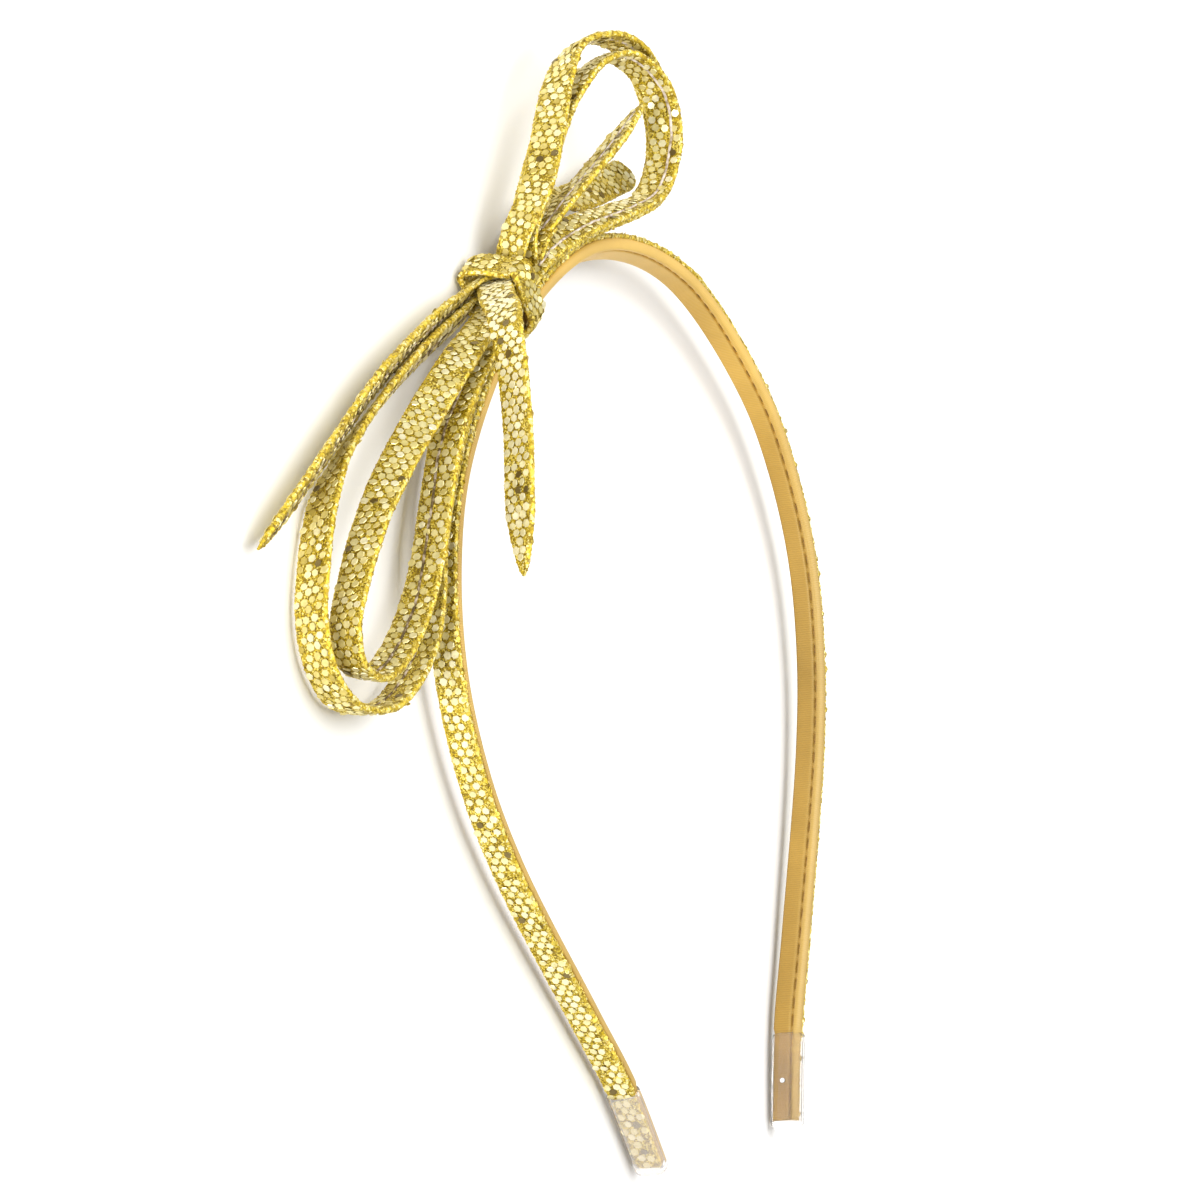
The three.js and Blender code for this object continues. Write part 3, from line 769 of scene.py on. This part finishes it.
def clear_plastic(name, clearness):
    """Soft clear plastic with faint ripples. The less clear, the milkier it is."""
    made = material(name, Base_Color=(1.0, 0.968, 0.935, 1), Roughness=0.1,
                    Transmission_Weight=clearness, IOR=1.14, Specular_IOR_Level=0.5)
    place = wire(made, "ShaderNodeTexCoord")
    ripple = wire(made, "ShaderNodeTexNoise", Vector=(place, "Object"), Scale=220.0, Detail=2.0)
    relief = wire(made, "ShaderNodeBump", Strength=0.25, Distance=0.0003, Height=(ripple, "Fac"))
    haze = ramp(made, (ripple, "Fac"), [(0.35, (0.03, 0.03, 0.03)), (0.7, (0.09, 0.09, 0.09))])
    finish(made, Normal=(relief, "Normal"), Roughness=haze)
    return made


def cap_section(turn, spread):
    """A rounded outline round both strips of the hoop, so much wider than they are."""
    half_width = BAND_WIDTH / 2 - TIP_SQUEEZE + spread
    inner = SATIN_OUTLINE[3][1] + TIP_SQUEEZE - spread
    outer = CAP_ROOM - TIP_SQUEEZE + spread
    angle = turn * 2 * np.pi
    across = np.sign(np.cos(angle)) * np.abs(np.cos(angle)) ** CAP_CORNER
    out = np.sign(np.sin(angle)) * np.abs(np.sin(angle)) ** CAP_CORNER
    return across * half_width, (outer + inner) / 2 + out * (outer - inner) / 2


cap_outside = CAP_CLEARANCE + CAP_WALL
cap_shares = np.arange(CAP_STEPS + 1) / CAP_STEPS
cap_hollow = [(TIP_FLOOR - CAP_CLEARANCE + (TIP_LENGTH - TIP_FLOOR) * share, CAP_CLEARANCE)
              for share in cap_shares]
cap_mouth = [(TIP_LENGTH + CAP_LIP, CAP_CLEARANCE + CAP_WALL / 2)]
cap_side = [(CAP_ROUNDING + (TIP_LENGTH - CAP_ROUNDING) * share, cap_outside)
            for share in cap_shares[::-1]]
cap_bottom = [(CAP_ROUNDING * (1 - math.sin(bend)), cap_outside - CAP_ROUNDING * (1 - math.cos(bend)))
              for bend in np.radians(CAP_BENDS)]
cap_profile = np.array(cap_hollow + cap_mouth + cap_side + cap_bottom)


def cap_surface(at_left):
    """Points of a cap by the shares of its profile, from the hollow to the bottom, and of the turn."""

    def surface(share, turn):
        row = np.round(share * (len(cap_profile) - 1)).astype(int)
        from_tip, spread = cap_profile[row].T
        distance = from_tip if at_left else hoop.length - from_tip
        return hoop.place(distance, *cap_section(turn, spread))

    return surface


for cap_name, clearness in CAP_CLEARNESS.items():
    cap = bent_grid(cap_name + "_clear", len(cap_profile) - 1, CAP_ROUNDS,
                    cap_surface(at_left=cap_name == "tip_cap_left"))
    cap.data.materials.append(clear_plastic("clear soft plastic of " + cap_name, clearness))
    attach(cap, "root")
    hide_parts(cap_name)

# White dot on a cap
# The plain arm's cap has one small round white dot on its inner face. It is a thin plate with a
# bevelled rim that sits on the cap's wall.
MARK_FROM_TIP = 7.3
MARK_ACROSS = -0.2
MARK_RADIUS = 0.4
MARK_THICK = 0.14
MARK_SIDES = 16
MARK_TAPER = 0.8

mark_shape = bmesh.new()
bmesh.ops.create_cone(mark_shape, cap_ends=True, segments=MARK_SIDES, radius1=1.0, radius2=MARK_TAPER,
                      depth=1.0)
mark_at = np.array([hoop.length - MARK_FROM_TIP])
mark_out = SATIN_OUTLINE[3][1] + TIP_SQUEEZE - CAP_CLEARANCE - CAP_WALL
along, across, out = hoop.ways(mark_at)
mark_place = hoop.place(mark_at, np.array([MARK_ACROSS]), np.array([mark_out]))
mark_scale = np.array([[MARK_RADIUS, MARK_RADIUS, MARK_THICK]]) * MM
mark_axes = np.stack([along, -across, -out], 1)
mark = copies("tip_cap_right_mark", mark_shape, mark_place, mark_axes, mark_scale)
mark.data.materials.append(material("white mark", Base_Color=(0.86, 0.87, 0.95, 1), Roughness=0.4))
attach(mark, "root")

# Loops and tails of the bow
# Each is a strip of the glitter cloth, folded to a flat doubled ribbon whose raw edges meet in a seam
# along one face. Loops come back to the knot, and tails are cut to a point or round. A strip has its
# ending, its seam's side and place across, and rows of its middle line with the lean in degrees.
STRIP_WIDTH = 5.2
STRIP_THICK = 0.95
KNOT_WIDTH = 4.4
KNOT_THICK = 0.72
KNOT_RUN = 9.0
# Painted light: the strips that face the light most get paler flakes and face grains, lit copies of the
# same cloth; the others keep the full range of golds.
LIT_STRIP_PALENESS = {"lower_tail_front": 0.9, "upper_loop_front": 0.45, "lower_loop_front": 0.35}
POINT_WIDTH = 0.4
POINT_RUN = 9.0
POINT_THICK = 0.36
POINT_THINNING = 3.0
POINT_CURVE = 0.65
ROUND_WIDTH = 1.0
ROUND_RUN = 2.6
STRIP_STEP = 0.8
STRIP_DIP = 0.07
LEAST_FACE = 0.02
BARE_START = 0.3
BARE_END = 0.7
FLAKE_PITCH = 1.37
FLAKE_TILT = 6.5
FACE_GRAINS = 9
FOLD_GRAINS = 9
FOLD_PALENESS = 0.2
SEAM_WIDTH = 0.42
SEAM_RISE = 0.15
SEAM_SINK = 0.04
SEAM_WANDER = 0.05
SEAM_STEP = 0.6
SEAM_SIDES = 8
SEAM_STOP_LOOP = 0.4
SEAM_STOP_TAIL = 3.0
STRIP_SEED = 100

BOW_STRIPS = {
    "upper_loop_back": ("knot", -1, 0.3, [
        (-27.1, -2.9, -0.9, 0), (-26.7, 1.7, 1.0, 0), (-21.2, 8.2, 2.3, -4), (-12.8, 19.0, 1.8, -4),
        (-8.5, 23.7, 1.3, 6), (-2.6, 28.7, 1.5, 22), (6.0, 30.7, 3.0, 6), (11.9, 28.6, 4.5, 4),
        (15.8, 22.9, 5.4, 10), (17.0, 17.0, 5.8, 14), (15.5, 11.2, 5.5, 10), (11.5, 6.8, 4.7, 10),
        (3.0, 4.3, 3.5, 18), (-8.0, 2.3, 2.0, 32), (-19.5, -1.9, 0.6, 30)]),
    "upper_loop_front": ("knot", -1, 0.85, [
        (-24.9, -3.0, 0.8, 0), (-24.4, 1.0, 0.7, 0), (-19.9, 7.0, 0.7, -5), (-11.4, 17.6, 1.2, -8),
        (-6.7, 21.8, 1.7, 0), (-0.7, 25.9, 3.3, 14), (6.5, 27.8, 4.5, 4), (11.0, 25.8, 6.0, 4),
        (14.0, 21.9, 7.0, 10), (14.8, 16.5, 7.2, 14), (13.0, 11.5, 7.0, 6), (8.6, 7.1, 6.6, 5),
        (-0.6, 4.7, 5.6, 18), (-11.7, 2.5, 4.0, 30), (-21.0, -0.7, 2.6, 35), (-25.4, -3.4, 2.1, 30)]),
    "lower_loop_back": ("knot", -1, 0.0, [
        (-36.2, -12.0, 0.2, 0), (-44.5, -17.8, 0.4, 4), (-53.2, -27.6, 0.2, 0), (-61.3, -41.0, 0.0, -3),
        (-63.8, -49.3, -0.1, -3), (-66.8, -55.2, -0.3, -1), (-72.4, -60.0, -0.5, 0),
        (-79.8, -63.0, -0.8, 4), (-90.2, -61.9, -1.1, 4), (-95.1, -56.8, -1.4, 8),
        (-95.9, -50.4, -1.6, 8), (-93.6, -43.9, -1.8, 6), (-88.8, -35.6, -2.1, 10),
        (-81.2, -29.1, -2.4, 30), (-66.8, -21.2, -2.6, 42), (-53.0, -15.2, -3.0, 46),
        (-36.0, -8.9, -3.2, 44)]),
    "lower_loop_front": ("knot", -1, 0.0, [
        (-35.2, -10.2, 0.6, 0), (-46.7, -17.0, 2.2, 4), (-56.4, -25.6, 2.0, 2), (-61.1, -34.4, 1.5, 0),
        (-65.7, -43.8, 1.2, 2), (-71.0, -50.8, 1.0, 7), (-78.1, -56.2, 1.0, 10), (-85.2, -58.7, 1.0, 12),
        (-90.8, -56.6, 1.0, 12), (-91.6, -52.2, 1.0, 8), (-88.6, -47.0, 1.0, 4), (-81.9, -38.6, 1.2, -5),
        (-74.0, -31.6, 1.4, -20), (-63.6, -24.0, 1.9, -30), (-53.9, -17.5, 2.3, -24),
        (-42.4, -11.6, 1.8, -6), (-34.8, -8.6, 0.4, 0)]),
    "upper_tail_straight": ("point", 1, 0.5, [
        (-21.9, 1.6, 2.2, 8), (-14.8, 6.6, 4.0, 16), (-4.5, 13.1, 6.0, 18), (5.8, 20.3, 8.0, 20)]),
    "upper_tail_round": ("round", -1, 0.0, [
        (-15.5, 4.5, -1.7, 0), (-9.5, 6.3, -1.7, -20), (-0.9, 7.4, -1.4, -48), (8.0, 9.2, -1.2, -58),
        (18.0, 11.6, -0.8, -60)]),
    "lower_tail_left": ("point", 1, 0.0, [
        (-35.6, -6.9, -3.3, -44), (-50.4, -11.4, -2.6, -48), (-69.0, -19.1, -2.2, -51),
        (-84.4, -27.6, -2.1, -52), (-97.1, -35.1, -2.4, -50), (-106.8, -40.6, -2.7, -46)]),
    "lower_tail_front": ("point", 1, 0.0, [
        (-28.0, -4.8, -1.4, 0), (-32.4, -5.8, -0.5, 0), (-36.4, -6.9, 1.4, 0), (-39.8, -8.2, 3.2, -4),
        (-43.6, -9.9, 5.7, -6), (-47.2, -12.6, 7.7, -10), (-49.8, -19.1, 9.2, -14),
        (-52.1, -27.2, 10.2, -16), (-55.4, -36.9, 11.0, -16), (-57.6, -47.3, 11.5, -16)]),
}


def seam_edge(name, stops):
    """Raw cloth edge in a seam: short fibres of several tones along its length."""
    made = material(name, Roughness=0.75)
    place = wire(made, "ShaderNodeTexCoord")
    fray = wire(made, "ShaderNodeTexNoise", Vector=(place, "Object"), Scale=900.0, Detail=3.0)
    dye = ramp(made, (fray, "Fac"), stops)
    rise = wire(made, "ShaderNodeBump", Strength=0.6, Distance=0.0001, Height=(fray, "Fac"))
    finish(made, Base_Color=dye, Normal=(rise, "Normal"))
    return made


pale_seam = seam_edge("pale raw edge", [(0.36, (0.3, 0.22, 0.12)), (0.46, (0.55, 0.46, 0.36)),
                                        (0.6, (0.8, 0.72, 0.66))])
dark_seam = seam_edge("dark raw edge", [(0.4, (0.1, 0.065, 0.02)), (0.52, (0.22, 0.15, 0.06)),
                                        (0.64, (0.62, 0.52, 0.4))])


def ease(value):
    """A smooth step from 0 to 1."""
    value = np.clip(value, 0, 1)
    return value * value * (3 - 2 * value)


def strip_sizes(run, ending):
    """Functions of distance: the strip's width and thickness between its two ends."""

    def width(distance):
        grown = KNOT_WIDTH + (STRIP_WIDTH - KNOT_WIDTH) * ease(distance / KNOT_RUN)
        left = run.length - distance
        if ending == "knot":
            share = ease(left / KNOT_RUN)
            return np.minimum(grown, KNOT_WIDTH + (STRIP_WIDTH - KNOT_WIDTH) * share)
        if ending == "point":
            share = np.clip(left / POINT_RUN, 0, 1) ** POINT_CURVE
            return np.minimum(grown, POINT_WIDTH + (STRIP_WIDTH - POINT_WIDTH) * share)
        share = np.sqrt(1 - (1 - np.clip(left / ROUND_RUN, 0, 1)) ** 2)
        return np.minimum(grown, ROUND_WIDTH + (STRIP_WIDTH - ROUND_WIDTH) * share)

    def thick(distance):
        start = ease(distance / KNOT_RUN)
        left = run.length - distance
        end = ease(left / KNOT_RUN) if ending == "knot" else 1.0
        full = KNOT_THICK + (STRIP_THICK - KNOT_THICK) * np.minimum(start, end)
        if ending != "point":
            return full
        share = ease(left / POINT_THINNING)
        return np.minimum(full, POINT_THICK + (STRIP_THICK - POINT_THICK) * share)

    return width, thick


def dress_strip(name, run, width, thick, random, seam_side=0, seam_across=0.0, closed=False, covers=(),
                paleness=0.0):
    """The folded strip of a run, with its seam, its rows of flakes and its grains."""

    def section(distance, turn):
        half_thick = thick(distance) / 2
        half_width = np.maximum(width(distance) / 2, half_thick + LEAST_FACE)
        return pressed_section(turn, half_width, half_thick, STRIP_DIP)

    strip = skin(name + "_strip", run, section, int(run.length / STRIP_STEP), STRIP_ROUNDS, closed)
    fold_marks(strip)
    strip.data.materials.append(base_cloth)
    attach(strip, "root")
    if covers:
        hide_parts(*covers)
    start = BARE_START
    end = run.length - BARE_END
    distances, offsets, sides = [], [], []
    for side in (1, -1):
        seam = seam_across if side == seam_side else None
        distance, offset = face_flakes(random, start, end, width, FLAKE_PITCH, seam)
        distances.append(distance)
        offsets.append(offset)
        sides.append(np.full(len(offset), side))
    distance, offset, side = (np.concatenate(v) for v in (distances, offsets, sides))
    along, across, out = run.ways(distance)
    places = run.place(distance, offset, side * thick(distance) / 2)
    flake_golds = golds(random, len(offset), paleness)
    scatter(name + "_flakes", places, out * side[:, None], along, random, foil, flake_golds,
            FLAKE_RADIUS, FLAKE_THICK, FLAKE_TILT)
    grains_over(name + "_grains", run, section, start, end, FACES, int(run.length * FACE_GRAINS), random,
                paleness, **GRAIN)
    grains_over(name + "_fold_grains", run, section, start, end, FOLDS, int(run.length * FOLD_GRAINS),
                random, FOLD_PALENESS, **FOLD_GRAIN)
    if seam_side:
        wander = np.cumsum(random.normal(0, SEAM_WANDER, int(run.length) + 2))
        wander = wander - np.linspace(wander[0], wander[-1], len(wander))

        def ridge(distance, turn):
            angle = turn * 2 * np.pi
            drift = np.interp(distance, np.arange(len(wander)), wander)
            across = seam_across + drift + np.cos(angle) * SEAM_WIDTH / 2
            level = seam_side * (thick(distance) / 2 - SEAM_SINK)
            return across, level + np.sin(angle) * SEAM_RISE

        seam_end = run.length - (SEAM_STOP_LOOP if "loop" in name else SEAM_STOP_TAIL)
        seam_line = skin(name + "_seam", run, ridge, int(run.length / SEAM_STEP), SEAM_SIDES,
                         start=BARE_START, end=seam_end)
        seam_line.data.materials.append(dark_seam if "lower" in name else pale_seam)
        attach(seam_line, "root")


for number, (strip_name, (ending, seam_side, seam_across, rows)) in enumerate(BOW_STRIPS.items()):
    strip_run = Run(rows)
    strip_width, strip_thick = strip_sizes(strip_run, ending)
    strip_random = np.random.default_rng(STRIP_SEED + number)
    dress_strip(strip_name, strip_run, strip_width, strip_thick, strip_random, seam_side, seam_across,
                covers=(strip_name,), paleness=LIT_STRIP_PALENESS.get(strip_name, 0.0))

# Strands inside the knot
# The bow's strips run on through the knot, pressed flat one on another. Each row gives a place along
# the hoop, out from it and up, from where the knot sits, and the strip's lean in degrees.
KNOT_SHARE = 0.417
STRAND_WIDTH = 4.2
STRAND_THICK = 0.55
NARROW_WIDTH = 3.4
STRAND_SEED = 200
KNOT_STRANDS = {
    "knot_strand_outer": (NARROW_WIDTH, [
        (5.6, 6.2, -0.4, 0), (4.7, 5.3, -1.0, 0), (0.6, 6.1, -2.2, 0), (-3.0, 6.7, -3.1, -15),
        (-5.6, 6.4, -3.25, -44)]),
    "knot_strand_low": (NARROW_WIDTH, [
        (2.0, 3.9, -1.8, 0), (0.0, 4.1, -1.9, 0), (-3.0, 4.3, -2.5, 15), (-5.5, 4.6, -3.15, 40),
        (-7.2, 4.88, -3.2, 44)]),
    "knot_strand_front": (STRAND_WIDTH, [
        (7.3, 4.8, 0.78, 0), (6.4, 3.8, 0.8, 0), (3.5, 3.3, 0.6, 0), (0.0, 3.4, 0.4, 0),
        (-3.2, 4.0, 0.35, 0), (-5.6, 4.4, 0.5, 0)]),
    "knot_strand_middle": (STRAND_WIDTH, [
        (7.4, 3.86, 2.25, 32), (5.8, 3.8, 2.05, 28), (3.2, 2.8, 1.0, 8), (0.0, 2.65, 0.7, 0),
        (-4.0, 2.95, 0.6, 0), (-7.2, 3.12, 0.75, 0)]),
    "knot_strand_inner": (STRAND_WIDTH, [
        (13.4, 1.8, 0.75, 30), (11.4, 2.05, 0.6, 28), (5.5, 2.2, 0.3, 10), (0.0, 2.0, 0.2, 0),
        (-5.0, 2.1, 0.2, 0), (-9.2, 2.05, 0.22, 0)]),
    "tail_root_straight": (STRAND_WIDTH, [
        (13.2, 6.46, 2.54, 9), (11.2, 6.25, 2.1, 8), (9.2, 5.5, 1.8, 6), (7.4, 4.5, 1.5, 4)]),
    "tail_root_round": (STRAND_WIDTH, [
        (20.2, 5.07, -1.7, -5), (18.2, 5.56, -1.7, 0), (13.0, 5.7, -1.8, 0), (9.0, 4.9, -1.8, 0),
        (6.5, 4.2, -1.5, 0)]),
}

knot_at = np.array([hoop.length * KNOT_SHARE])
knot_middle = hoop.read(hoop.line, knot_at)[0]
knot_along = unit(hoop.read(hoop.along, knot_at))[0]
knot_out = unit(hoop.read(hoop.out, knot_at))[0]
knot_axes = np.array([knot_along, knot_out, (0, 0, 1)])

for number, (strand_name, (strand_width, rows)) in enumerate(KNOT_STRANDS.items()):
    rows = np.array(rows, float)
    strand_run = Run(np.column_stack([knot_middle + rows[:, :3] @ knot_axes, rows[:, 3]]))
    dress_strip(strand_name, strand_run, even(strand_width), even(STRAND_THICK),
                np.random.default_rng(STRAND_SEED + number))

# Wrap of the knot
# A short strip of the same cloth goes once round the hoop and the strands, and is sewn at the back. Its
# path is given along the hoop, out from it, and up, from where the knot sits.
WRAP_WIDTH = 5.2
WRAP_THICK = 0.92
WRAP_SEED = 300
WRAP_PATH = [
    (0.9, 7.0, 0.5), (0.6, 6.5, 3.1), (-0.6, 3.8, 3.7), (0.0, -1.2, 3.3), (-0.3, -2.9, 0.0),
    (-0.2, -1.6, -3.5), (0.2, 3.4, -4.2), (0.5, 7.7, -5.0), (0.8, 7.9, -2.4),
]

wrap_run = Run(knot_middle + np.array(WRAP_PATH) @ knot_axes, upright=knot_along, closed=True)
dress_strip("knot_wrap", wrap_run, even(WRAP_WIDTH), even(WRAP_THICK), np.random.default_rng(WRAP_SEED),
            closed=True, covers=("knot_wrap",))
